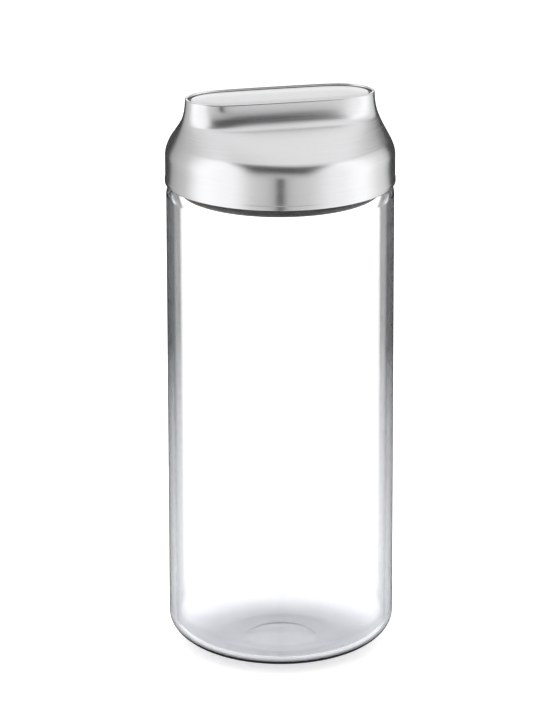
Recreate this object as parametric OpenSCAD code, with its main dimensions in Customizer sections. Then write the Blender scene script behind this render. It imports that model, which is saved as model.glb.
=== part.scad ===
// Lidded glass storage canister
// A blown glass jar with a press-in lid. The lid is one drawn steel shell that runs from a round
// skirt up into an oval grip, a steel tray set into the grip, and a moulded plug with a lipped seal
// that goes down into the jar's neck.
// Millimetres, +Z up, origin at the middle of the foot, the grip's long way along X.

/* [Overall] */
// Height of the closed canister, foot to grip rim
total_h = 266; // [230:1:320]
// Outside diameter of the lid's skirt
lid_d = 106; // [102:1:108]

/* [Glass jar] */
// Wall thickness of the glass
glass_t = 2.9; // [2.4:0.1:3.1]
// Thickness of the glass base
base_t = 3; // [2.5:0.1:5]
// How far the skirt stands proud of the glass
skirt_proud = 0.4; // [0.2:0.1:1]
// Width of the rounded heel, inwards from the wall
heel_w = 26.5; // [14:0.5:30]
// Height of the rounded heel
heel_h = 16; // [10:0.5:20]
// Rise of the domed middle of the base
kick_h = 1.6; // [0.5:0.1:3]
// Inner radius of the flat foot ring
foot_in_r = 17; // [10:0.5:20]
// Radius of the bend at the shoulder
shoulder_r = 7.5; // [6:0.5:9]
// Start of the shoulder below the skirt's lower edge
shoulder_drop = 5.9; // [4.5:0.1:7]
// How far the neck is set in from the wall
neck_inset = 3; // [2.6:0.1:3.4]
// Radius of the hollow between shoulder and neck
hollow_r = 3; // [2:0.5:4]
// Height of the mouth above the skirt's lower edge
neck_rise = 15.2; // [14:0.1:15.2]

/* [Lid shell] */
// Thickness of the steel sheet
sheet_t = 0.7; // [0.5:0.1:0.8]
// Height of the lid from its lower edge to the grip rim
lid_h = 41; // [41:0.5:44]
// Height of the straight skirt
skirt_h = 13; // [12:0.1:13.4]
// Radius of the bend where the skirt turns into the shoulder
crease_r = 8.5; // [7:0.1:9]
// Slope of the shoulder beside the skirt, degrees
low_slope = 25.5; // [25.5:0.5:27]
// Slope of the shoulder beside the grip, degrees
high_slope = 17.5; // [17:0.5:19]
// Radius of the hollow at the foot of the grip
grip_fillet = 11.5; // [10:0.5:11.5]
// How late the shell flares out below the ends of the grip
flare = 1.5; // [1.3:0.1:2]
// How soon the sides of the shell turn round below the grip
rounding = 0.75; // [0.5:0.05:1.2]
// Depth of the turned-in hem at the skirt's lower edge
hem_h = 2.2; // [1.5:0.1:3]
// How far the hem swells outwards
hem_swell = 0.2; // [0:0.05:0.3]

/* [Grip] */
// Length of the grip over its rim
grip_l = 88.8; // [84:0.1:92]
// Width of the grip over its rim
grip_w = 32; // [30:0.5:36]
// Share of the grip's half length that its straight sides take
straightness = 0.58; // [0.3:0.01:0.65]
// How softly the straight sides run into the round ends, small for sharply
softness = 0.2; // [0.15:0.05:0.6]
// Width of the rolled rim
rim_w = 1.6; // [1.5:0.1:2.2]
// Depth of the tray's floor below the rim
tray_depth = 1.1; // [0.7:0.1:2]
// Gap between the tray and the rim
tray_gap = 1.1; // [0.9:0.1:1.3]
// Thickness of the tray
tray_t = 0.7; // [0.5:0.1:1]
// Thickness of the adhesive pad under the tray
pad_t = 0.6; // [0.4:0.1:1]

/* [Plug and seal] */
// Depth of the plug below the skirt's lower edge
plug_drop = 5.3; // [3:0.1:8]
// Radial room between the plug and the neck
plug_room = 1.4; // [1.2:0.1:1.6]
// Wall thickness of the plug
plug_t = 2; // [1.6:0.1:2.2]
// Thickness of the plug's flange
flange_t = 2.2; // [1.6:0.1:2.4]
// Room between the flange and the glass rim
rest_gap = 0.3; // [0.3:0.05:0.5]
// Depth of the groove that holds the seal
groove_d = 1.3; // [0.8:0.1:1.4]
// Height of the seal ring
seal_h = 9.4; // [8:0.1:9.6]
// Number of sealing lips
lips = 3; // [2:1:4]
// Radial room between the lips and the glass
lip_gap = 0.25; // [0.2:0.05:0.4]

/* [Hidden] */

$fn = 96;
loft_n = 72;        // points around each section of a loft
arc_n = 10;         // chords in a large arc
bend_n = 8;         // chords in a small bend
running = 0.1;      // radial room of the seal in its groove
fit_gap = 0.2;      // room between pieces of the lid that slip together

skirt_z = total_h - lid_h;
lid_r = lid_d / 2;
jar_r = lid_r - skirt_proud;

// Jar
shoulder_z = skirt_z - shoulder_drop;
shoulder_bend = acos(1 - neck_inset / (shoulder_r + hollow_r));
neck_r = jar_r - neck_inset;
neck_in_r = neck_r - glass_t;
neck_z = shoulder_z + (shoulder_r + hollow_r) * sin(shoulder_bend);
mouth_z = skirt_z + neck_rise;
kick_r = (pow(foot_in_r, 2) + pow(kick_h, 2)) / (2 * kick_h);

// Shell, seen across the grip: skirt, crease, shoulder, hollow, neck and rim
crease_z = skirt_z + skirt_h;
rim_r = rim_w / 2;
grip_a = grip_l / 2;
grip_b = grip_w / 2;
neck_slope = 82;
crease_end_r = lid_r - crease_r * (1 - sin(low_slope));
crease_end_z = crease_z + crease_r * cos(low_slope);
hollow_run = grip_fillet * (sin(neck_slope) - sin(high_slope));
shoulder_arc_r = (crease_end_r - grip_b - hollow_run) / (sin(low_slope) - sin(high_slope));
hollow_start_z = crease_end_z + shoulder_arc_r * (cos(high_slope) - cos(low_slope));
hollow_end_z = hollow_start_z + grip_fillet * (cos(high_slope) - cos(neck_slope));
// Shell, seen along the grip: the ends fall away over this height
flare_top_z = total_h + 2;
grip_straight = grip_a * straightness;

// Lid insides
fold_h = 3.2;       // depth of the rolled rim's inner leg
plug_r = neck_in_r - plug_room;
plug_z = skirt_z - plug_drop;
flange_z = mouth_z + rest_gap;
flange_r = neck_r + 0.7;
groove_r = plug_r - groove_d;
groove_h = seal_h + 0.6;
groove_z = neck_z + 0.7;
core_z = flange_z + flange_t;
core_disc_r = neck_in_r - 0.7;
core_disc_t = 2;
core_wall = 2;
tray_floor_z = total_h - tray_depth;
pad_z = tray_floor_z - tray_t - pad_t;
collar_z = tray_floor_z + 0.1;      // top of the carrier's collar, in the gap round the tray

// ---- outlines -------------------------------------------------------------------------------

// Points on an elliptic arc about c, from angle a0 to a1
function arc(c, rx, ry, a0, a1, n) =
    [for (i = [0:n]) let (a = a0 + (a1 - a0) * i / n) [c[0] + rx * cos(a), c[1] + ry * sin(a)]];

// The domed middle of the base, raised by lift, from the axis out to the foot ring
function dome(lift) =
    [for (i = [0:arc_n]) let (x = foot_in_r * i / arc_n)
        [x, lift + kick_h - kick_r + sqrt(pow(kick_r, 2) - x * x)]];

function reversed(list) = [for (i = [len(list) - 1:-1:0]) list[i]];

// Eases from 0 to 1 with level ends
function ease(u) = let (v = min(1, max(0, u))) v * v * (3 - 2 * v);

// Half length of the grip or shell at height z
function half_length(z) =
    grip_a + (lid_r - grip_a) * ease(pow((flare_top_z - z) / (flare_top_z - crease_z), flare));

// How much of the straight side is left in a section of half width b
function side_share(b) =
    let (w = min(1, max(0, (b - grip_b) / (lid_r - grip_b)))) grip_straight * (1 - pow(w, rounding));

// How far along the straight side a point is, from -1 to 1, for the cosine of its angle
function along_side(c) = c * sqrt((1 + pow(softness, 2)) / (c * c + pow(softness, 2)));

// A flat-sided oval of half length a and half width b, of which s is the straight side's share.
// With s = 0 it is an ellipse, and with a = b as well a circle.
function oval(a, b, s, n = loft_n) =
    [for (i = [0:n - 1]) let (t = 360 * i / n) [(a - s) * cos(t) + s * along_side(cos(t)), b * sin(t)]];

function at_height(outline, z) = [for (p = outline) [p[0], p[1], z]];

// The grip's outline at the rim, moved inwards by d
function grip_outline(d) = oval(grip_a - d, grip_b - d, grip_straight);

// One level section of the shell's outer face, b half wide at height z
function outer_section(p) = at_height(oval(half_length(p[1]), p[0], side_share(p[0])), p[1]);

// One level section of its inner face, one sheet thickness inside the outer one
function inner_section(p) =
    at_height(oval(half_length(p[1]) - sheet_t, p[0], side_share(p[0] + sheet_t)), p[1]);

// Half width and height along the shell across the grip, moved inwards by d
function shell_profile(d) = concat(
    arc([lid_r - crease_r, crease_z], crease_r - d, crease_r - d, 0, 90 - low_slope, bend_n),
    arc([crease_end_r - shoulder_arc_r * sin(low_slope), crease_end_z - shoulder_arc_r * cos(low_slope)],
        shoulder_arc_r - d, shoulder_arc_r - d, 90 - low_slope + 0.1, 90 - high_slope - 0.1, arc_n),
    arc([grip_b + grip_fillet * sin(neck_slope), hollow_end_z + grip_fillet * cos(neck_slope)],
        grip_fillet + d, grip_fillet + d, 270 - high_slope, 270 - neck_slope, bend_n));

// ---- shapes ---------------------------------------------------------------------------------

// Skins a list of sections, each a ring of loft_n points. A closed loft joins its last section to
// its first, and an open one is capped.
module loft(sections, closed) {
    count = len(sections);
    last = closed ? count - 1 : count - 2;
    sides = [for (k = [0:last], i = [0:loft_n - 1])
        let (j = (i + 1) % loft_n, a = k * loft_n, b = ((k + 1) % count) * loft_n)
        each [[a + i, b + i, b + j], [a + i, b + j, a + j]]];
    caps = closed ? [] : [[for (i = [0:loft_n - 1]) i],
                          [for (i = [loft_n - 1:-1:0]) (count - 1) * loft_n + i]];
    polyhedron([for (s = sections) each s], concat(sides, caps), convexity = 6);
}

// An upright slab of the grip's outline moved inwards by d
module grip_slab(d, z, h) {
    translate([0, 0, z]) linear_extrude(h) polygon(grip_outline(d));
}

// ---- pieces ---------------------------------------------------------------------------------

module glass_jar() {
    heel = [jar_r - heel_w, heel_h];
    shoulder = [jar_r - shoulder_r, shoulder_z];
    hollow = [neck_r + hollow_r, neck_z];
    lip = [neck_r - glass_t / 2, mouth_z - glass_t / 2];
    inner_shoulder_r = shoulder_r - glass_t;
    inner_hollow_r = hollow_r + glass_t;
    color([0.86, 0.92, 0.90, 0.35]) rotate_extrude() polygon(concat(
        dome(0),
        arc(heel, heel_w, heel_h, -90, 0, 2 * arc_n),
        arc(shoulder, shoulder_r, shoulder_r, 0, shoulder_bend, arc_n),
        arc(hollow, hollow_r, hollow_r, 180 + shoulder_bend, 180, bend_n),
        arc(lip, glass_t / 2, glass_t / 2, 0, 180, arc_n),
        arc(hollow, inner_hollow_r, inner_hollow_r, 180, 180 + shoulder_bend, bend_n),
        arc(shoulder, inner_shoulder_r, inner_shoulder_r, shoulder_bend, 0, bend_n),
        arc(heel, heel_w - glass_t, heel_h - base_t, 0, -90, 2 * arc_n),
        reversed(dome(base_t))));
}

module lid_shell() {
    hem_r = lid_r + hem_swell;
    hem_in_r = lid_r - 2 * sheet_t;
    // the hem, up its outer side
    hem_out = [[hem_in_r + 0.3, skirt_z], [hem_r - 0.4, skirt_z], [hem_r, skirt_z + 0.4],
               [hem_r, skirt_z + hem_h - 0.4], [lid_r, skirt_z + hem_h + 0.4]];
    // the hem, down its inner side
    hem_in = [[lid_r - sheet_t, skirt_z + hem_h + 0.7], [hem_in_r, skirt_z + hem_h],
              [hem_in_r, skirt_z + 0.3]];
    rim = [for (p = arc([rim_r, total_h - rim_r], rim_r, rim_r, 180, 0, bend_n))
        at_height(grip_outline(p[0]), p[1])];
    fold = [for (p = [[rim_w, total_h - fold_h], [sheet_t, total_h - fold_h - 0.4]])
        at_height(grip_outline(p[0]), p[1])];
    color("silver") loft(concat(
        [for (p = hem_out) at_height(oval(p[0], p[0], 0), p[1])],
        [for (p = shell_profile(0)) outer_section(p)],
        rim,
        fold,
        [for (p = reversed(shell_profile(sheet_t))) if (p[1] < total_h - fold_h - 0.6) inner_section(p)],
        [for (p = hem_in) at_height(oval(p[0], p[0], 0), p[1])]), true);
}

module grip_tray() {
    edge = rim_w + tray_gap;
    edge_r = 0.35;
    lip_w = 1.2;
    lip_h = 0.2;
    floor_edge = edge + lip_w;
    under_z = tray_floor_z - tray_t;
    sections = concat(
        [[floor_edge, under_z], [edge + edge_r, under_z], [edge, under_z + edge_r]],
        arc([edge + edge_r, tray_floor_z + lip_h - edge_r], edge_r, edge_r, 180, 60, bend_n),
        [[floor_edge - 0.2, tray_floor_z + 0.02], [floor_edge, tray_floor_z]]);
    color("gainsboro") loft([for (p = sections) at_height(grip_outline(p[0]), p[1])], false);
}

module tray_pad() {
    color("dimgray") grip_slab(rim_w + tray_gap + 1.9, pad_z, pad_t);
}

// Moulded carrier: a disc that lies on the plug's flange, an oval box up into the grip, and a collar
// that fills the gap between the rim and the tray
module grip_core() {
    box_in = sheet_t + 0.5;
    boss_in = rim_w + fit_gap;
    box_top = total_h - fold_h - 0.8;
    rib_pitch = 18;
    color([0.22, 0.21, 0.20]) union() {
        difference() {
            union() {
                translate([0, 0, core_z]) cylinder(r = core_disc_r, h = core_disc_t);
                grip_slab(box_in, core_z, box_top - core_z);
                difference() {
                    grip_slab(boss_in, core_z, collar_z - core_z);
                    grip_slab(rim_w + tray_gap - fit_gap, pad_z, collar_z - pad_z + 1);
                }
            }
            grip_slab(box_in + core_wall, core_z - 1, box_top - core_wall - core_z + 1);
        }
        for (x = [-rib_pitch:rib_pitch:rib_pitch])
            translate([x - core_wall / 2, -grip_b + box_in + core_wall / 2, core_z])
                cube([core_wall, grip_w - 2 * box_in - core_wall, box_top - core_wall / 2 - core_z]);
    }
}

// Moulded plug: a cup that goes into the neck, with a flange over the glass rim and a seal groove
module inner_lid() {
    rib_h = 9;
    hub_r = 9;
    rib_count = 8;
    edge = 0.6;
    color([0.24, 0.22, 0.20]) union() {
        rotate_extrude() polygon([
            [0, plug_z], [plug_r - 2 * edge, plug_z], [plug_r - edge / 2, plug_z + edge / 2],
            [plug_r, plug_z + 2 * edge], [plug_r, groove_z], [groove_r, groove_z],
            [groove_r, groove_z + groove_h], [plug_r, groove_z + groove_h], [plug_r, flange_z],
            [flange_r, flange_z], [flange_r, core_z], [groove_r - plug_t, core_z],
            [groove_r - plug_t, plug_z + plug_t], [0, plug_z + plug_t]]);
        for (i = [0:rib_count - 1]) rotate([0, 0, 360 * i / rib_count])
            translate([hub_r - 1, -plug_t / 2, plug_z + plug_t / 2])
                cube([groove_r - plug_t - hub_r + 2, plug_t, rib_h]);
        translate([0, 0, plug_z + plug_t / 2]) difference() {
            cylinder(r = hub_r, h = rib_h);
            translate([0, 0, -1]) cylinder(r = hub_r - plug_t, h = rib_h + 2);
        }
    }
}

// Silicone ring: a band in the plug's groove, with lips that lean upwards towards the glass
module seal_ring() {
    in_r = groove_r + running;
    band_r = plug_r + 0.1;
    lip_r = neck_in_r - lip_gap;
    bottom_z = groove_z + (groove_h - seal_h) / 2;
    pitch = seal_h / lips;
    color([0.30, 0.28, 0.26]) rotate_extrude() union() {
        translate([in_r, bottom_z]) square([band_r - in_r, seal_h]);
        for (i = [0:lips - 1]) translate([band_r, bottom_z + pitch * (i + 0.5)])
            polygon([[-0.3, -1.1], [lip_r - band_r, 0.3], [lip_r - band_r, 0.7], [-0.3, 0.7]]);
    }
}

glass_jar();
lid_shell();
grip_tray();
tray_pad();
grip_core();
inner_lid();
seal_ring();
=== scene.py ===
"""Lidded glass storage canister: its looks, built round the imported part.

A blown borosilicate jar, a drawn steel lid that runs from a round skirt up into an oval grip with a
steel tray in it, and a dark moulded plug with a lipped silicone seal. Everything is in metres, +Z up,
with the origin at the middle of the foot and the grip's long way along X.
"""

import logging
import math
from collections.abc import Sequence
from dataclasses import dataclass, field
from enum import Enum

import bmesh
import bpy
from mathutils import Matrix, Vector


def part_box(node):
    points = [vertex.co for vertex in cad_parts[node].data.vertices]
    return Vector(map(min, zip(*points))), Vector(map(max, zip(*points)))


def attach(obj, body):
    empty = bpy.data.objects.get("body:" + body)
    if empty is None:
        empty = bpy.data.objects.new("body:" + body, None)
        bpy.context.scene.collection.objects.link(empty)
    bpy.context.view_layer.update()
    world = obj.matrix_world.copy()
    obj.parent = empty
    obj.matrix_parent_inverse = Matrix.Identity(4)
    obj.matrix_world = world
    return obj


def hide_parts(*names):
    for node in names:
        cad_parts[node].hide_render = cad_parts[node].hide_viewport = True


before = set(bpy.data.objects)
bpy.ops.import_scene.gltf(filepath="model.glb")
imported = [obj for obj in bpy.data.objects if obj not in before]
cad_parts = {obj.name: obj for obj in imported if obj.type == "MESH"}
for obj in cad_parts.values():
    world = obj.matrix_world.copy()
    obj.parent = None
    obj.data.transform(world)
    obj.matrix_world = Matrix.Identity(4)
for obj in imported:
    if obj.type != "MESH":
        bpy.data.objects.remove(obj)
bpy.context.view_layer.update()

log = logging.getLogger("canister")

MM = 0.001  # one millimetre in metres
UP = Vector((0, 0, 1))


class Body(Enum):
    """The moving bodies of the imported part."""

    JAR = "jar"
    SEAL = "seal"
    LID = "lid"


class Slot(Enum):
    """The record's material slots."""

    GLASS = "borosilicate_glass"
    STEEL = "brushed_steel"
    PLASTIC = "dark_plastic"
    SILICONE = "silicone"
    PAD = "adhesive_pad"


class Grain(Enum):
    """Which way the brush lines run on a steel piece."""

    LEVEL = "level"
    LENGTHWISE = "lengthwise"


# ---- drawing and meshing ----------------------------------------------------------------------


@dataclass(frozen=True)
class Arc:
    """Part of an ellipse in a profile plane, walked from one angle to another.

    Angles are in degrees, measured from the outward axis towards +Z.
    """

    centre: tuple[float, float]
    across: float
    up: float
    start: float
    end: float
    steps: int = 16

    def points(self) -> list[tuple[float, float]]:
        """Gives the points of the arc.

        Returns:
            Pairs of distance outwards and height, in metres.
        """
        x, z = self.centre
        sweep = self.end - self.start
        turns = [math.radians(self.start + sweep * i / self.steps) for i in range(self.steps + 1)]
        return [(x + self.across * math.cos(t), z + self.up * math.sin(t)) for t in turns]


class Outline:
    """A line drawn in the XZ plane a stretch at a time, then spun round the Z axis."""

    def __init__(self, x: float, z: float) -> None:
        """Starts the line.

        Args:
            x: Distance of its first point from the axis.
            z: Height of its first point.
        """
        self.mesh = bmesh.new()
        self.end = self.mesh.verts.new((x, 0, z))

    def line(self, *points: tuple[float, float]) -> "Outline":
        """Draws straight to each point in turn.

        Args:
            points: Pairs of distance from the axis and height.

        Returns:
            The outline itself.
        """
        for x, z in points:
            self.end = bmesh.ops.extrude_vert_indiv(self.mesh, verts=[self.end])["verts"][0]
            self.end.co = (x, 0, z)
        return self

    def round(self, radius: float, *points: tuple[float, float], steps: int = 5) -> "Outline":
        """Draws straight to each point and rounds the corner there, all but the last.

        Args:
            radius: How far along each side the rounding starts.
            points: Pairs of distance from the axis and height.
            steps: Chords in each rounded corner.

        Returns:
            The outline itself.
        """
        corners = []
        for point in points:
            self.line(point)
            corners.append(self.end)
        bmesh.ops.bevel(
            self.mesh, geom=corners[:-1], offset=radius, offset_type="OFFSET", segments=steps,
            profile=0.5, affect="VERTICES", material=-1,
        )
        return self

    def turn(
        self, centre: tuple[float, float], degrees: float, flat: float = 1.0, steps: int = 16
    ) -> "Outline":
        """Turns the end of the line about a centre.

        Args:
            centre: Distance from the axis and height of the centre.
            degrees: Angle turned, from +X towards +Z.
            flat: Height of the ellipse as a share of its width, 1 for a circle.
            steps: Chords in the arc.

        Returns:
            The outline itself.
        """
        about = Vector((centre[0], 0, centre[1]))
        squeeze = Matrix.Translation(-about)
        first = self.end
        bmesh.ops.scale(self.mesh, vec=(1, 1, 1 / flat), space=squeeze, verts=[first])
        before = set(self.mesh.verts)
        made = bmesh.ops.spin(
            self.mesh, geom=[first], cent=about, axis=(0, -1, 0), dvec=(0, 0, 0),
            angle=math.radians(degrees), steps=steps, use_duplicate=False,
        )
        arc = [first] + [v for v in self.mesh.verts if v not in before]
        bmesh.ops.scale(self.mesh, vec=(1, 1, flat), space=squeeze, verts=arc)
        self.end = made["geom_last"][0]
        return self

    def spin(self, steps: int, closed: bool = False) -> bmesh.types.BMesh:
        """Spins the line into a solid of revolution.

        Args:
            steps: Facets round the axis.
            closed: Joins the end of the line back to its start first, as a ring's section needs.

        Returns:
            The solid, with its seams and poles merged and its faces pointing outwards.
        """
        mesh = self.mesh
        if closed:
            mesh.verts.ensure_lookup_table()
            mesh.edges.new((self.end, mesh.verts[0]))
        bmesh.ops.remove_doubles(mesh, verts=mesh.verts[:], dist=0.001 * MM)
        bmesh.ops.spin(
            mesh, geom=mesh.verts[:] + mesh.edges[:], cent=(0, 0, 0), axis=UP,
            angle=math.tau, steps=steps, use_merge=True,
        )
        bmesh.ops.remove_doubles(mesh, verts=mesh.verts[:], dist=0.001 * MM)
        bmesh.ops.recalc_face_normals(mesh, faces=mesh.faces[:])
        return mesh


@dataclass(frozen=True)
class Ring:
    """One level section of a lofted piece: a flat-sided oval.

    The straight share is how much of the half length the straight sides take. With none the section
    is an ellipse, and with equal halves as well a circle. The softness is how gently the sides run
    into the round ends.
    """

    half_length: float
    half_width: float
    straight: float
    height: float
    softness: float = 0.2

    def at(self, turn: float) -> Vector:
        """Gives the point of the oval at an angle.

        Args:
            turn: The angle in radians, 0 on +X.

        Returns:
            The point, in metres.
        """
        along = math.cos(turn)
        side = along * math.sqrt((1 + self.softness**2) / (along**2 + self.softness**2))
        x = (self.half_length - self.straight) * along + self.straight * side
        return Vector((x, self.half_width * math.sin(turn), self.height))


def loft(rings: Sequence[Ring], sides: int, closed: bool) -> bmesh.types.BMesh:
    """Skins a list of rings by extruding each from the one before.

    Args:
        rings: The sections in order.
        sides: Points round each section.
        closed: Joins the last ring to the first. If not, both ends are capped.

    Returns:
        The closed skin, with its faces pointing outwards.
    """
    mesh = bmesh.new()
    turn = mesh.verts.layers.float.new("turn")
    bmesh.ops.create_circle(mesh, cap_ends=False, radius=1, segments=sides)
    for vert in mesh.verts:
        vert[turn] = math.atan2(vert.co.y, vert.co.x)
        vert.co = rings[0].at(vert[turn])
    first = last = mesh.edges[:]
    for ring in rings[1:]:
        made = bmesh.ops.extrude_edge_only(mesh, edges=last)["geom"]
        last = [g for g in made if isinstance(g, bmesh.types.BMEdge)]
        for vert in (g for g in made if isinstance(g, bmesh.types.BMVert)):
            vert.co = ring.at(vert[turn])
    if closed:
        bmesh.ops.bridge_loops(mesh, edges=first + last)
    else:
        bmesh.ops.holes_fill(mesh, edges=first + last, sides=0)
    bmesh.ops.recalc_face_normals(mesh, faces=mesh.faces[:])
    return mesh


def piece(
    name: str, mesh: bmesh.types.BMesh, body: Body, stands_for: str, crease: float = 40
) -> bpy.types.Object:
    """Turns a finished mesh into a piece that rides on its body and stands for its CAD node.

    Args:
        name: Name of the piece.
        mesh: Its mesh, in place. It is freed.
        body: The body it moves with.
        stands_for: The CAD node it replaces.
        crease: Angle in degrees above which an edge looks sharp.

    Returns:
        The piece's object.
    """
    data = bpy.data.meshes.new(name)
    mesh.to_mesh(data)
    mesh.free()
    data.shade_smooth()
    data.set_sharp_from_angle(angle=math.radians(crease))
    made = bpy.data.objects.new(name, data)
    bpy.context.scene.collection.objects.link(made)
    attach(made, body.value)
    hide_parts(stands_for)
    log.info("%s: %d faces, rides on %s, stands for %s", name, len(data.polygons), body.value, stands_for)
    return made


def dress(target: bpy.types.Object, material: bpy.types.Material) -> None:
    """Gives an object one material.

    Args:
        target: The object.
        material: The material.
    """
    target.data.materials.clear()
    target.data.materials.append(material)


# ---- finishes ---------------------------------------------------------------------------------


def linear(colour: str) -> tuple[float, float, float, float]:
    """Turns an sRGB hex colour to linear light.

    Args:
        colour: Six hex digits.

    Returns:
        Linear red, green and blue, and an alpha of 1.
    """
    parts = [int(colour[i : i + 2], 16) / 255 for i in (0, 2, 4)]
    red, green, blue = (c / 12.92 if c <= 0.04045 else ((c + 0.055) / 1.055) ** 2.4 for c in parts)
    return (red, green, blue, 1.0)


Tree = bpy.types.NodeTree
Node = bpy.types.Node
Socket = bpy.types.NodeSocket


def add(tree: Tree, kind: str, inputs: dict[str | int, object] | None = None, **settings: object) -> Node:
    """Adds a node with its settings, values and links.

    Args:
        tree: The node tree.
        kind: The node's type name, without its prefix.
        inputs: Value of each input by name or number. A socket is linked, and anything else is set.
        settings: The node's own properties.

    Returns:
        The node.
    """
    made = tree.nodes.new(kind if "Node" in kind else f"ShaderNode{kind}")
    for name, value in settings.items():
        setattr(made, name, value)
    for name, value in (inputs or {}).items():
        if isinstance(value, bpy.types.NodeSocket):
            tree.links.new(value, made.inputs[name])
        else:
            made.inputs[name].default_value = value
    return made


def ramp(tree: Tree, factor: Socket, stops: Sequence[tuple[float, float]], smooth: bool = True) -> Socket:
    """Adds a grey ramp.

    Args:
        tree: The node tree.
        factor: What drives it.
        stops: Place and brightness of each stop, in order.
        smooth: Eases between the stops.

    Returns:
        The ramp's colour output.
    """
    made = add(tree, "ValToRGB", {"Fac": factor})
    made.color_ramp.interpolation = "EASE" if smooth else "LINEAR"
    stock = made.color_ramp.elements
    while len(stock) < len(stops):
        stock.new(0.5)
    for element, (place, grey) in zip(stock, stops):
        element.position = place
        element.color = (grey, grey, grey, 1)
    return made.outputs["Color"]


def start_material(name: str) -> tuple[bpy.types.Material, Tree, Node]:
    """Starts a material with a bare principled shader.

    Args:
        name: Name of the material.

    Returns:
        The material, its node tree and its shader.
    """
    made = bpy.data.materials.new(name)
    made.use_nodes = True
    tree = made.node_tree
    return made, tree, tree.nodes["Principled BSDF"]


def speckle(tree: Tree, stretch: tuple[float, float, float], detail: float = 3.0) -> Socket:
    """Adds noise on the piece's own place, one grain per given distance along each axis.

    Args:
        tree: The node tree.
        stretch: Size of the grain along X, Y and Z, in millimetres.
        detail: Octaves of finer noise.

    Returns:
        The noise, from 0 to 1.
    """
    place = add(tree, "TexCoord").outputs["Object"]
    scaled = add(tree, "Mapping", {"Vector": place, "Scale": tuple(1 / (size * MM) for size in stretch)})
    noise = add(tree, "TexNoise", {"Vector": scaled.outputs["Vector"], "Scale": 1.0,
                                   "Detail": detail, "Roughness": 0.6})
    return noise.outputs["Fac"]


@dataclass(frozen=True)
class BrushedSteel:
    """Stainless steel, drawn to shape and then satin brushed.

    The eye gets a soft grey metal whose highlights are drawn out across the brush lines, with faint
    streaks along them. Real lines are about 0.05 mm apart; they are drawn coarser so that they show.
    """

    grain: Grain
    colour: str = "E0E0E1"
    cloud_colour: str = "D8D9DA"
    line_colour: str = "E8E8E9"
    line_gap: float = 0.35
    line_length: float = 26.0
    roughness: float = 0.24

    def build(self) -> bpy.types.Material:
        """Makes the material.

        Returns:
            The material.
        """
        made, tree, shader = start_material(f"brushed_stainless_steel_{self.grain.value}")
        level = self.grain is Grain.LEVEL
        across, along = self.line_gap, self.line_length
        lines = speckle(tree, (along, along, across) if level else (along, across, along), 4.0)
        clouds = speckle(tree, (30, 30, 12) if level else (40, 8, 40), 2.0)
        rough = add(tree, "MapRange", {"Value": lines, "From Min": 0.25, "From Max": 0.75,
                                       "To Min": self.roughness - 0.03, "To Max": self.roughness + 0.04})
        clouded = add(tree, "MixRGB", {"Fac": clouds, "Color1": linear(self.colour),
                                       "Color2": linear(self.cloud_colour)})
        streaked = add(tree, "MixRGB", {"Fac": lines, "Color1": clouded.outputs["Color"],
                                        "Color2": linear(self.line_colour)})
        bump = add(tree, "Bump", {"Height": lines, "Strength": 0.025, "Distance": 0.02 * MM})
        turn = add(tree, "Tangent", direction_type="RADIAL", axis="Z" if level else "Y")
        tree.links.new(rough.outputs["Result"], shader.inputs["Roughness"])
        tree.links.new(streaked.outputs["Color"], shader.inputs["Base Color"])
        tree.links.new(bump.outputs["Normal"], shader.inputs["Normal"])
        tree.links.new(turn.outputs["Tangent"], shader.inputs["Tangent"])
        shader.inputs["Metallic"].default_value = 1.0
        shader.inputs["Anisotropic"].default_value = 0.7
        shader.inputs["Anisotropic Rotation"].default_value = 0.25
        return made


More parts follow.
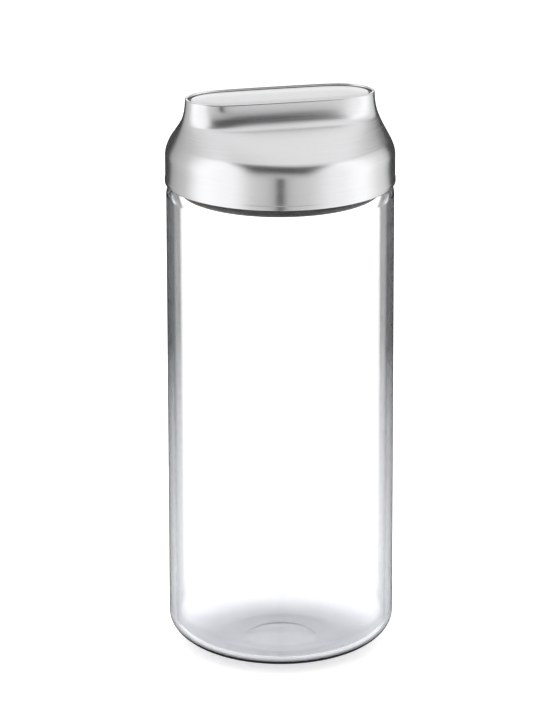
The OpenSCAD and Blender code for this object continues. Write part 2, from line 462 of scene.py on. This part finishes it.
@dataclass(frozen=True)
class BorosilicateGlass:
    """Clear borosilicate glass, blown in a mould and fire-polished.

    The eye gets a clear wall with painted shade in dark lines where it is seen edge on, standing in for the
    dark surroundings seen through it, deepening towards the neck into a painted reflection of the lid's dark
    inside, a wall greyer towards the foot, and a trace of the slow waviness that blowing leaves.
    """

    ior: float = 1.473
    tint: str = "FCFCFC"
    # greyer towards the foot, fading to the clear tint between 6 and 40 mm up
    foot_tint: str = "EEEFF3"
    # painted shade: the dark line where the wall is seen edge on, low on the jar
    edge: str = "A4A5AB"
    # painted reflection: the lid's dark inside, painted into the edge lines near the neck
    neck_painted_reflection: str = "202122"
    # how the painted edge shade sets in as the wall turns edge on
    painted_edge_stops: tuple[tuple[float, float], ...] = ((0.48, 0.0), (0.60, 0.45), (0.66, 1.0))
    painted_reflection_from: float = 35 * MM
    painted_reflection_to: float = 150 * MM
    base_from: float = 6 * MM
    base_to: float = 40 * MM
    wave_length: float = 22.0

    def build(self) -> bpy.types.Material:
        """Makes the material.

        Returns:
            The material.
        """
        made, tree, shader = start_material("borosilicate_glass_blown")
        waves = speckle(tree, (self.wave_length, self.wave_length, 2.5 * self.wave_length), 1.0)
        bump = add(tree, "Bump", {"Height": waves, "Strength": 0.02, "Distance": 0.05 * MM})
        # painted shade: the wall seen edge on is given a dark colour in place of the dark surroundings seen
        # through it
        facing = add(tree, "LayerWeight", {"Blend": 0.5}).outputs["Facing"]
        painted_edge_shade = ramp(tree, facing, self.painted_edge_stops, smooth=False)
        height = add(tree, "SeparateXYZ", {0: add(tree, "TexCoord").outputs["Object"]}).outputs["Z"]
        # the painted edge shade deepens with height into the painted reflection of the lid
        rise = add(tree, "MapRange", {"Value": height, "From Min": self.painted_reflection_from, "From Max": self.painted_reflection_to})
        edge = add(tree, "MixRGB", {"Fac": rise.outputs["Result"], "Color1": linear(self.edge),
                                    "Color2": linear(self.neck_painted_reflection)})
        # the glass turns from the greyer foot tint to the clear tint going up
        above_foot = add(tree, "MapRange", {"Value": height, "From Min": self.base_from, "From Max": self.base_to})
        body = add(tree, "MixRGB", {"Fac": above_foot.outputs["Result"], "Color1": linear(self.foot_tint),
                                    "Color2": linear(self.tint)})
        colour = add(tree, "MixRGB", {"Fac": painted_edge_shade, "Color1": body.outputs["Color"],
                                      "Color2": edge.outputs["Color"]})
        tree.links.new(colour.outputs["Color"], shader.inputs["Base Color"])
        tree.links.new(bump.outputs["Normal"], shader.inputs["Normal"])
        shader.inputs["Transmission Weight"].default_value = 1.0
        shader.inputs["IOR"].default_value = self.ior
        shader.inputs["Roughness"].default_value = 0.0
        return made


@dataclass(frozen=True)
class MouldedPlastic:
    """Injection-moulded polypropylene, lightly spark-eroded.

    The eye gets a dark warm grey with a soft sheen and a fine even grain about 0.4 mm across.
    """

    colour: str = "2B2826"
    pale: str = "37332F"
    grit: float = 0.4
    roughness: float = 0.42

    def build(self) -> bpy.types.Material:
        """Makes the material.

        Returns:
            The material.
        """
        made, tree, shader = start_material("moulded_polypropylene")
        grit = speckle(tree, (self.grit,) * 3, 2.0)
        flow = speckle(tree, (14, 14, 6), 2.0)
        colour = add(tree, "MixRGB", {"Fac": flow, "Color1": linear(self.colour),
                                      "Color2": linear(self.pale)})
        rough = add(tree, "MapRange", {"Value": grit, "To Min": self.roughness - 0.06,
                                       "To Max": self.roughness + 0.06})
        bump = add(tree, "Bump", {"Height": grit, "Strength": 0.12, "Distance": 0.03 * MM})
        tree.links.new(colour.outputs["Color"], shader.inputs["Base Color"])
        tree.links.new(rough.outputs["Result"], shader.inputs["Roughness"])
        tree.links.new(bump.outputs["Normal"], shader.inputs["Normal"])
        shader.inputs["IOR"].default_value = 1.49
        return made


@dataclass(frozen=True)
class Silicone:
    """Compression-moulded silicone rubber.

    The eye gets a soft, slightly lighter grey than the plug, with a faint bloom of dust.
    """

    colour: str = "4A4642"
    bloom: str = "5B5752"

    def build(self) -> bpy.types.Material:
        """Makes the material.

        Returns:
            The material.
        """
        made, tree, shader = start_material("silicone_rubber")
        dust = speckle(tree, (3, 3, 1.2), 4.0)
        grain = speckle(tree, (0.5,) * 3, 2.0)
        colour = add(tree, "MixRGB", {"Fac": dust, "Color1": linear(self.colour),
                                      "Color2": linear(self.bloom)})
        rough = add(tree, "MapRange", {"Value": dust, "To Min": 0.48, "To Max": 0.66})
        bump = add(tree, "Bump", {"Height": grain, "Strength": 0.1, "Distance": 0.03 * MM})
        tree.links.new(colour.outputs["Color"], shader.inputs["Base Color"])
        tree.links.new(rough.outputs["Result"], shader.inputs["Roughness"])
        tree.links.new(bump.outputs["Normal"], shader.inputs["Normal"])
        shader.inputs["IOR"].default_value = 1.41
        return made


@dataclass(frozen=True)
class FoamPad:
    """Double-sided acrylic foam pad.

    The eye would get a dull dark grey with open cells about 0.6 mm across.
    """

    colour: str = "3E3F41"
    cell_colour: str = "2B2C2E"
    cell: float = 0.6

    def build(self) -> bpy.types.Material:
        """Makes the material.

        Returns:
            The material.
        """
        made, tree, shader = start_material("acrylic_foam_pad")
        cells = speckle(tree, (self.cell,) * 3, 2.0)
        colour = add(tree, "MixRGB", {"Fac": cells, "Color1": linear(self.colour),
                                      "Color2": linear(self.cell_colour)})
        bump = add(tree, "Bump", {"Height": cells, "Strength": 0.3, "Distance": 0.1 * MM})
        tree.links.new(colour.outputs["Color"], shader.inputs["Base Color"])
        tree.links.new(bump.outputs["Normal"], shader.inputs["Normal"])
        shader.inputs["Roughness"].default_value = 0.9
        return made


# ---- sub-assemblies ---------------------------------------------------------------------------


@dataclass
class Jar:
    """The blown glass jar. Lengths are in metres."""

    wall: float = 2.9 * MM
    base: float = 3 * MM
    heel_width: float = 26.5 * MM
    heel_height: float = 16 * MM
    kick: float = 1.6 * MM
    foot_ring: float = 17 * MM
    shoulder_bend: float = 7.5 * MM
    neck_inset: float = 3 * MM
    hollow_bend: float = 3 * MM
    shoulder_below_mouth: float = 21.1 * MM
    facets: int = 224
    radius: float = field(init=False)
    mouth: float = field(init=False)

    def __post_init__(self) -> None:
        """Takes the jar's radius and height from its CAD node."""
        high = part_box("glass_jar")[1]
        self.radius, self.mouth = high.x, high.z

    @property
    def neck_radius(self) -> float:
        """Outside radius of the neck."""
        return self.radius - self.neck_inset

    @property
    def bore(self) -> float:
        """Inside radius of the neck."""
        return self.neck_radius - self.wall

    def build(self) -> bpy.types.Object:
        """Draws the glass's section, up the outside and down the inside, and spins it.

        Returns:
            The jar.
        """
        bend = math.degrees(math.acos(1 - self.neck_inset / (self.shoulder_bend + self.hollow_bend)))
        dome = (self.foot_ring**2 + self.kick**2) / (2 * self.kick)
        rise = math.degrees(math.asin(self.foot_ring / dome))
        heel = (self.radius - self.heel_width, self.heel_height)
        shoulder = (self.radius - self.shoulder_bend, self.mouth - self.shoulder_below_mouth)
        neck = shoulder[1] + (self.shoulder_bend + self.hollow_bend) * math.sin(math.radians(bend))
        hollow = (self.neck_radius + self.hollow_bend, neck)
        lip = (self.neck_radius - self.wall / 2, self.mouth - self.wall / 2)
        outer_flat = self.heel_height / self.heel_width
        inner_flat = (self.heel_height - self.base) / (self.heel_width - self.wall)
        section = Outline(0, self.kick)
        section.turn((0, self.kick - dome), -rise).line((heel[0], 0))
        section.turn(heel, 90, outer_flat, 40).line((self.radius, shoulder[1]))
        section.turn(shoulder, bend, steps=20).turn(hollow, -bend, steps=14)
        section.line((self.neck_radius, lip[1])).turn(lip, 180, steps=24)
        section.line((self.bore, neck)).turn(hollow, bend, steps=20).turn(shoulder, -bend, steps=16)
        section.line((self.radius - self.wall, heel[1])).turn(heel, -90, inner_flat, 40)
        section.line((self.foot_ring, self.base)).turn((0, self.base + self.kick - dome), rise)
        return piece("jar_glass", section.spin(self.facets), Body.JAR, "glass_jar")

    def dress(self, made: bpy.types.Object) -> None:
        """Gives the jar its glass.

        Args:
            made: The jar.
        """
        dress(made, BorosilicateGlass().build())


@dataclass
class SteelCap:
    """The drawn steel shell of the lid and the tray in its grip. Lengths are in metres."""

    radius: float = 53 * MM
    sheet: float = 0.7 * MM
    skirt: float = 13 * MM
    crease: float = 8.5 * MM
    low_slope: float = 25.5
    high_slope: float = 17.5
    fillet: float = 11.5 * MM
    neck_slope: float = 82.0
    flare: float = 1.5
    rounding: float = 0.75
    flare_above: float = 2 * MM
    hem: float = 2.2 * MM
    hem_swell: float = 0.2 * MM
    hem_corner: float = 0.35 * MM
    ring_below_crease: float = 4 * MM
    grip_half_length: float = 44.4 * MM
    grip_half_width: float = 16 * MM
    straightness: float = 0.58
    rim: float = 1.6 * MM
    fold: float = 3.2 * MM
    fold_taper: float = 0.4 * MM
    fold_clearance: float = 0.6 * MM
    tray_depth: float = 1.1 * MM
    tray_sheet: float = 0.7 * MM
    tray_gap: float = 1.1 * MM
    tray_lip: float = 1.2 * MM
    tray_lip_rise: float = 0.2 * MM
    tray_edge: float = 0.35 * MM
    tray_toe: float = 0.2 * MM
    tray_toe_rise: float = 0.02 * MM
    tray_cap_inset: float = 9 * MM
    sides: int = 256
    foot: float = field(init=False)
    top: float = field(init=False)

    def __post_init__(self) -> None:
        """Takes the lid's lower edge and top from its CAD node."""
        low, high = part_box("lid_shell")
        self.foot, self.top = low.z, high.z

    @property
    def crease_foot(self) -> float:
        """Height at which the skirt starts to turn inwards."""
        return self.foot + self.skirt

    def half_length(self, height: float) -> float:
        """Half length of the shell at a height, as its ends flare out below the grip.

        Args:
            height: The height.

        Returns:
            The half length.
        """
        share = (self.top + self.flare_above - height) / (self.top + self.flare_above - self.crease_foot)
        eased = min(1.0, max(0.0, share)) ** self.flare
        return self.grip_half_length + (self.radius - self.grip_half_length) * eased * eased * (3 - 2 * eased)

    def straight(self, half_width: float) -> float:
        """Straight share of a section, which dies away as the shell turns round.

        Args:
            half_width: The section's half width.

        Returns:
            The straight share.
        """
        span = (half_width - self.grip_half_width) / (self.radius - self.grip_half_width)
        return self.straightness * self.grip_half_length * (1 - min(1.0, max(0.0, span)) ** self.rounding)

    def grip_ring(self, inset: float, height: float) -> Ring:
        """Gives the grip's outline, moved inwards.

        Args:
            inset: How far inwards.
            height: Its height.

        Returns:
            The section.
        """
        straight = self.straightness * self.grip_half_length
        return Ring(self.grip_half_length - inset, self.grip_half_width - inset, straight, height)

    def flank(self, inset: float) -> list[Ring]:
        """Gives the sections from the crease up to the foot of the rim.

        Args:
            inset: 0 for the outer face, and the sheet's thickness for the inner one.

        Returns:
            The sections, going up.
        """
        low, high, steep = (math.radians(a) for a in (self.low_slope, self.high_slope, self.neck_slope))
        crease_end = (
            self.radius - self.crease * (1 - math.sin(low)), self.crease_foot + self.crease * math.cos(low)
        )
        run = self.fillet * (math.sin(steep) - math.sin(high))
        sweep = (crease_end[0] - self.grip_half_width - run) / (math.sin(low) - math.sin(high))
        shoulder_top = crease_end[1] + sweep * (math.cos(high) - math.cos(low))
        fillet_end = shoulder_top + self.fillet * (math.cos(high) - math.cos(steep))
        crease = Arc((self.radius - self.crease, self.crease_foot), self.crease - inset, self.crease - inset,
                     0, 90 - self.low_slope, 24)
        middle = (crease_end[0] - sweep * math.sin(low), crease_end[1] - sweep * math.cos(low))
        short = 0.05  # degrees the shoulder stops short at each end, so that no section is drawn twice
        shoulder = Arc(middle, sweep - inset, sweep - inset,
                       90 - self.low_slope + short, 90 - self.high_slope - short, 22)
        hollow = (
            self.grip_half_width + self.fillet * math.sin(steep), fillet_end + self.fillet * math.cos(steep)
        )
        fillet = Arc(hollow, self.fillet + inset, self.fillet + inset,
                     270 - self.high_slope, 270 - self.neck_slope, 24)
        return [
            Ring(self.half_length(z) - inset, b, self.straight(b + inset), z)
            for b, z in crease.points() + shoulder.points() + fillet.points()
        ]

    def build_shell(self) -> bpy.types.Object:
        """Lofts the shell up its outside, over the rolled rim and down its inside.

        Returns:
            The shell.
        """
        corner = self.hem_corner
        hem_out, hem_in = self.radius + self.hem_swell, self.radius - 2 * self.sheet
        hem_top = self.foot + self.hem
        outside = (
            Arc((hem_out - corner, self.foot + corner), corner, corner, -90, 0, 6).points()
            + Arc((hem_out - corner, hem_top - corner), corner, corner, 0, 35, 3).points()
            + [(self.radius, hem_top + corner), (self.radius, self.crease_foot - self.ring_below_crease)]
        )
        skin = self.radius - self.sheet
        inside = (
            [(skin, self.crease_foot - self.ring_below_crease), (skin, hem_top + 2 * corner)]
            + [(hem_in, hem_top)]
            + Arc((hem_in + corner, self.foot + corner), corner, corner, 180, 270, 6).points()
        )
        half_rim = self.rim / 2
        rim = Arc((half_rim, self.top - half_rim), half_rim, half_rim, 180, 0, 20).points()
        fold_foot = self.top - self.fold
        fold = [(self.rim, fold_foot), (self.sheet, fold_foot - self.fold_taper)]
        inner = [r for r in reversed(self.flank(self.sheet)) if r.height < fold_foot - self.fold_clearance]
        rings = (
            [Ring(r, r, 0, z) for r, z in outside]
            + self.flank(0)
            + [self.grip_ring(inset, z) for inset, z in rim + fold]
            + inner
            + [Ring(r, r, 0, z) for r, z in inside]
        )
        return piece("lid_steel_shell", loft(rings, self.sides, True), Body.LID, "lid_shell")

    def build_tray(self) -> bpy.types.Object:
        """Lofts the tray: its underside, its rolled lip, and its floor.

        Returns:
            The tray.
        """
        edge = self.rim + self.tray_gap
        floor = self.top - self.tray_depth
        under = floor - self.tray_sheet
        bend = self.tray_edge
        middle = edge + self.tray_cap_inset
        lip_end = edge + self.tray_lip
        profile = (
            [(middle, under)]
            + Arc((edge + bend, under + bend), bend, bend, 270, 180, 6).points()
            + Arc((edge + bend, floor + self.tray_lip_rise - bend), bend, bend, 180, 60, 10).points()
            + [(lip_end - self.tray_toe, floor + self.tray_toe_rise), (lip_end, floor), (middle, floor)]
        )
        rings = [self.grip_ring(inset, z) for inset, z in profile]
        return piece("grip_steel_tray", loft(rings, self.sides, False), Body.LID, "grip_tray")

    def dress(self, shell: bpy.types.Object, tray: bpy.types.Object) -> None:
        """Gives the shell level brush lines and the tray lengthwise ones.

        Args:
            shell: The shell.
            tray: The tray.
        """
        dress(shell, BrushedSteel(Grain.LEVEL).build())
        dress(tray, BrushedSteel(Grain.LENGTHWISE).build())


@dataclass
class Insert:
    """The moulded plug that goes into the neck, and the carrier over it. Lengths are in metres."""

    room: float = 1.4 * MM
    wall: float = 2 * MM
    flange_grip: float = 0.7 * MM
    flange: float = 2.2 * MM
    groove_depth: float = 1.3 * MM
    groove_height: float = 10 * MM
    corner: float = 0.9 * MM
    flange_corner: float = 0.3 * MM
    hub: float = 9 * MM
    rib_height: float = 9 * MM
    ribs: int = 8
    gate: float = 3 * MM
    dimple: float = 0.4 * MM
    sharp: float = 30
    facets: int = 224
    hub_facets: int = 96

    def build_plug(self, jar: Jar, seal_middle: float) -> bpy.types.Object:
        """Spins the plug's cup and joins its ribs and hub to its floor.

        Args:
            jar: The jar it goes into.
            seal_middle: Height of the middle of the seal's groove.

        Returns:
            The plug.
        """
        low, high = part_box("inner_lid")
        outer = jar.bore - self.room
        flange = jar.neck_radius + self.flange_grip
        groove = outer - self.groove_depth
        inner = groove - self.wall
        half = self.groove_height / 2
        top, under_flange, floor = high.z, high.z - self.flange, low.z + self.wall
        section = Outline(0, low.z + self.dimple)
        section.line((self.gate, low.z + self.dimple), (self.gate + self.dimple, low.z))
        section.round(self.corner, (outer, low.z), (outer, seal_middle - half), steps=8)
        section.line((groove, seal_middle - half), (groove, seal_middle + half), (outer, seal_middle + half))
        section.line((outer, under_flange))
        section.round(self.flange_corner, (flange, under_flange), (flange, top), (inner, top), steps=3)
        section.line((inner, floor), (0, floor))
        cup = section.spin(self.facets)
        made = piece("plug_moulded", cup, Body.LID, "inner_lid", self.sharp)
        self.join_ribs(made, inner, floor)
        return made

    def join_ribs(self, cup: bpy.types.Object, reach: float, floor: float) -> None:
        """Joins the ribs and the hub inside the cup to it.

        Args:
            cup: The cup.
            reach: Radius of the cup's inside wall.
            floor: Height of the cup's floor.
        """
        rib = bmesh.new()
        sunk = self.wall / 2
        for i in range(self.ribs):
            made = bmesh.ops.create_cube(rib, size=1)["verts"]
            length = reach - self.hub + 2 * sunk
            bmesh.ops.scale(rib, vec=(length, self.wall, self.rib_height), verts=made)
            out = self.hub - sunk + length / 2
            bmesh.ops.translate(rib, vec=(out, 0, floor - sunk + self.rib_height / 2), verts=made)
            turned = Matrix.Rotation(math.tau * i / self.ribs, 3, "Z")
            bmesh.ops.rotate(rib, cent=(0, 0, 0), matrix=turned, verts=made)
        hub = Outline(self.hub, floor - sunk).line(
            (self.hub, floor - sunk + self.rib_height),
            (self.hub - self.wall, floor - sunk + self.rib_height),
            (self.hub - self.wall, floor - sunk),
        ).spin(self.hub_facets, True)
        for name, tool in (("ribs", rib), ("hub", hub)):
            data = bpy.data.meshes.new(name)
            tool.to_mesh(data)
            tool.free()
            helper = bpy.data.objects.new(name, data)
            bpy.context.scene.collection.objects.link(helper)
            union = cup.modifiers.new(name, "BOOLEAN")
            union.operation, union.solver, union.object = "UNION", "EXACT", helper
            solved = cup.evaluated_get(bpy.context.evaluated_depsgraph_get())
            joined = bpy.data.meshes.new_from_object(solved)
            cup.modifiers.clear()
            cup.data = joined
            bpy.data.objects.remove(helper)
        cup.data.shade_smooth()
        cup.data.set_sharp_from_angle(angle=math.radians(self.sharp))

    def dress(self, plug: bpy.types.Object) -> None:
        """Gives the plug and the carrier their plastic and the pad its foam.

        Args:
            plug: The plug.
        """
        plastic = MouldedPlastic().build()
        dress(plug, plastic)
        dress(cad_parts["grip_core"], plastic)
        dress(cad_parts["tray_pad"], FoamPad().build())


@dataclass
class Seal:
    """The silicone ring with its lips. Lengths are in metres."""

    lips: int = 3
    lip_gap: float = 0.25 * MM
    band_proud: float = 0.1 * MM
    groove_slack: float = 0.1 * MM
    corner: float = 0.14 * MM
    lip_root: float = 1.1 * MM
    lip_lean: float = 0.3 * MM
    lip_tip: float = 0.4 * MM
    lip_back: float = 0.7 * MM
    sharp: float = 50
    facets: int = 224

    def __post_init__(self) -> None:
        """Takes the ring's lower and upper edge from its CAD node."""
        low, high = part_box("seal_ring")
        self.foot, self.top = low.z, high.z

    @property
    def middle(self) -> float:
        """Height of the ring's middle."""
        return (self.foot + self.top) / 2

    def build(self, jar: Jar, insert: Insert) -> bpy.types.Object:
        """Draws the ring's section with lips that lean up towards the glass, and spins it.

        Args:
            jar: The jar it seals against.
            insert: The plug it sits on.

        Returns:
            The ring.
        """
        plug = jar.bore - insert.room
        inner = plug - insert.groove_depth + self.groove_slack
        band = plug + self.band_proud
        tip = jar.bore - self.lip_gap
        pitch = (self.top - self.foot) / self.lips
        points = [(inner, self.foot), (band, self.foot)]
        for i in range(self.lips):
            middle = self.foot + pitch * (i + 0.5)
            points += [(band, middle - self.lip_root), (tip, middle + self.lip_lean),
                       (tip, middle + self.lip_lean + self.lip_tip), (band, middle + self.lip_back)]
        points += [(band, self.top), (inner, self.top)]
        section = Outline(*points[0])
        section.line(*points[1:])
        rounded = [v for v in section.mesh.verts if v.co.x > band - 0.01 * MM]
        bmesh.ops.bevel(
            section.mesh, geom=rounded, offset=self.corner, offset_type="OFFSET", segments=3,
            profile=0.5, affect="VERTICES", material=-1,
        )
        ring = section.spin(self.facets, True)
        return piece("seal_silicone", ring, Body.SEAL, "seal_ring", self.sharp)

    def dress(self, made: bpy.types.Object) -> None:
        """Gives the ring its silicone.

        Args:
            made: The ring.
        """
        dress(made, Silicone().build())


# ---- studio -----------------------------------------------------------------------------------

# Brightness of the tent round the object. The camera's side is at 0.5, and behind is 0 and 1.
TENT_SIDES = (
    (0.095, 0.05), (0.125, 0.48), (0.18, 0.64), (0.27, 1.30), (0.36, 1.20), (0.44, 0.72), (0.487, 0.58),
    (0.492, 0.02), (0.509, 0.02), (0.514, 0.60), (0.56, 0.72), (0.66, 1.10), (0.75, 1.30),
    (0.84, 0.85), (0.872, 0.60), (0.895, 0.05),
)
# Brightness of the tent over the object. The camera's side is at 0, overhead 0.5 and behind 1.
TENT_ROOF = (
    (0.10, 0.60), (0.18, 0.50), (0.26, 0.09), (0.43, 0.09), (0.54, 0.90), (0.62, 1.00), (0.76, 1.00),
    (0.87, 1.28), (1.0, 1.28),
)
# The roof's share of that light, by how far up and by how far sideways a direction points
ROOF_BY_HEIGHT = ((0.19, 0.0), (0.27, 1.0))
ROOF_BY_WIDTH = ((0.34, 1.0), (0.62, 0.0))


@dataclass
class Studio:
    """A pale floor, even white light, and a light tent whose panels show in the steel.

    The tent is bright at its two sides and high at the back, and dark above the camera and low at the
    back, with a thin dark gap straight in front. Only reflections see it. The floor glows a little, so
    that its shadows stay faint.
    """

    camera_place: tuple[float, float, float] = (-0.4933, -2.0551, 0.7943)
    azimuth: float = 13.34
    pitch: float = 17.24
    roll: float = -0.144
    lens: float = 237.55
    sensor: float = 36.0
    floor_size: float = 16.0
    tent_radius: float = 9.0
    daylight: float = 1.3
    floor_colour: str = "F2F2F2"
    floor_glow: float = 0.5

    def build_camera(self) -> None:
        """Sets the camera at its angle and makes it the scene's."""
        data = bpy.data.cameras.new("camera")
        data.lens, data.sensor_width, data.sensor_fit = self.lens, self.sensor, "AUTO"
        data.clip_start, data.clip_end = 0.05, 50
        made = bpy.data.objects.new("camera", data)
        made.location = self.camera_place
        heading = Matrix.Rotation(math.radians(-self.azimuth), 4, "Z")
        tilt = Matrix.Rotation(math.radians(90 - self.pitch), 4, "X")
        lean = Matrix.Rotation(math.radians(self.roll), 4, "Z")
        made.rotation_euler = (heading @ tilt @ lean).to_euler()
        bpy.context.scene.collection.objects.link(made)
        bpy.context.scene.camera = made

    def build_floor(self) -> None:
        """Lays the pale, faintly glowing floor. Reflections look past it into the tent."""
        mesh = bmesh.new()
        bmesh.ops.create_grid(mesh, x_segments=1, y_segments=1, size=self.floor_size / 2)
        data = bpy.data.meshes.new("floor")
        mesh.to_mesh(data)
        mesh.free()
        made = bpy.data.objects.new("floor", data)
        bpy.context.scene.collection.objects.link(made)
        material, _, shader = start_material("pale_floor")
        shader.inputs["Base Color"].default_value = linear(self.floor_colour)
        shader.inputs["Roughness"].default_value = 0.9
        shader.inputs["Specular IOR Level"].default_value = 0.0
        shader.inputs["Emission Color"].default_value = linear(self.floor_colour)
        shader.inputs["Emission Strength"].default_value = self.floor_glow
        material.cycles.emission_sampling = "NONE"
        dress(made, material)
        made.visible_glossy = False

    def build_world(self) -> None:
        """Fills the scene with even white light, which reflections don't see."""
        world = bpy.data.worlds.new("daylight")
        world.use_nodes = True
        world.node_tree.nodes["Background"].inputs["Strength"].default_value = self.daylight
        world.node_tree.nodes["Background"].inputs["Color"].default_value = (1, 1, 1, 1)
        world.cycles_visibility.glossy = False
        bpy.context.scene.world = world

    def build_tent(self) -> None:
        """Puts up the light tent that the steel and the glass reflect."""
        mesh = bmesh.new()
        bmesh.ops.create_icosphere(mesh, subdivisions=5, radius=self.tent_radius)
        bmesh.ops.reverse_faces(mesh, faces=mesh.faces[:])
        data = bpy.data.meshes.new("light_tent")
        mesh.to_mesh(data)
        mesh.free()
        data.shade_smooth()
        made = bpy.data.objects.new("light_tent", data)
        bpy.context.scene.collection.objects.link(made)
        dress(made, self.tent_cloth())
        made.visible_camera = made.visible_diffuse = made.visible_transmission = False
        made.visible_volume_scatter = made.visible_shadow = False

    def tent_cloth(self) -> bpy.types.Material:
        """Makes the tent's cloth, lit by direction.

        Returns:
            The cloth's material.
        """
        made = bpy.data.materials.new("tent_cloth")
        made.use_nodes = True
        tree = made.node_tree
        tree.nodes.clear()
        heading = math.radians(self.azimuth)
        place = add(tree, "TexCoord").outputs["Object"]
        way = add(tree, "VectorMath", {0: place}, operation="NORMALIZE").outputs["Vector"]

        def along(x: float, y: float, z: float) -> Socket:
            """Gives the part of the direction along an axis."""
            return add(tree, "VectorMath", {0: way, 1: (x, y, z)}, operation="DOT_PRODUCT").outputs["Value"]

        def work(operation: str, *values: float | Socket) -> Socket:
            """Does one sum."""
            return add(tree, "Math", dict(enumerate(values)), operation=operation).outputs["Value"]

        right = along(math.cos(heading), -math.sin(heading), 0)
        front = along(-math.sin(heading), -math.cos(heading), 0)
        up = along(0, 0, 1)
        half_turn = work("DIVIDE", work("ARCTAN2", right, front), math.tau)
        round_about = work("ADD", half_turn, 0.5)
        sides = ramp(tree, round_about, TENT_SIDES)
        over = work("DIVIDE", work("ARCTAN2", up, front), math.pi)
        roof = ramp(tree, over, TENT_ROOF)
        above = ramp(tree, up, ROOF_BY_HEIGHT)
        beside = ramp(tree, work("ABSOLUTE", right), ROOF_BY_WIDTH)
        share = work("MULTIPLY", above, beside)
        cloth = add(tree, "MixRGB", {"Fac": share, "Color1": sides, "Color2": roof})
        glow = add(tree, "Emission", {"Color": cloth.outputs["Color"], "Strength": 1.0})
        add(tree, "OutputMaterial", {"Surface": glow.outputs["Emission"]})
        made.cycles.emission_sampling = "NONE"
        return made

    def build(self) -> None:
        """Builds the whole studio."""
        self.build_camera()
        self.build_floor()
        self.build_world()
        self.build_tent()
        bpy.context.scene.view_settings.view_transform = "Standard"


def main() -> None:
    """Builds each sub-assembly in order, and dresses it."""
    logging.basicConfig(level=logging.INFO, format="%(name)s: %(message)s")
    Studio().build()
    jar = Jar()
    jar.dress(jar.build())
    cap = SteelCap()
    cap.dress(cap.build_shell(), cap.build_tray())
    seal = Seal()
    insert = Insert()
    insert.dress(insert.build_plug(jar, seal.middle))
    seal.dress(seal.build(jar, insert))


if __name__ == "__main__":
    main()
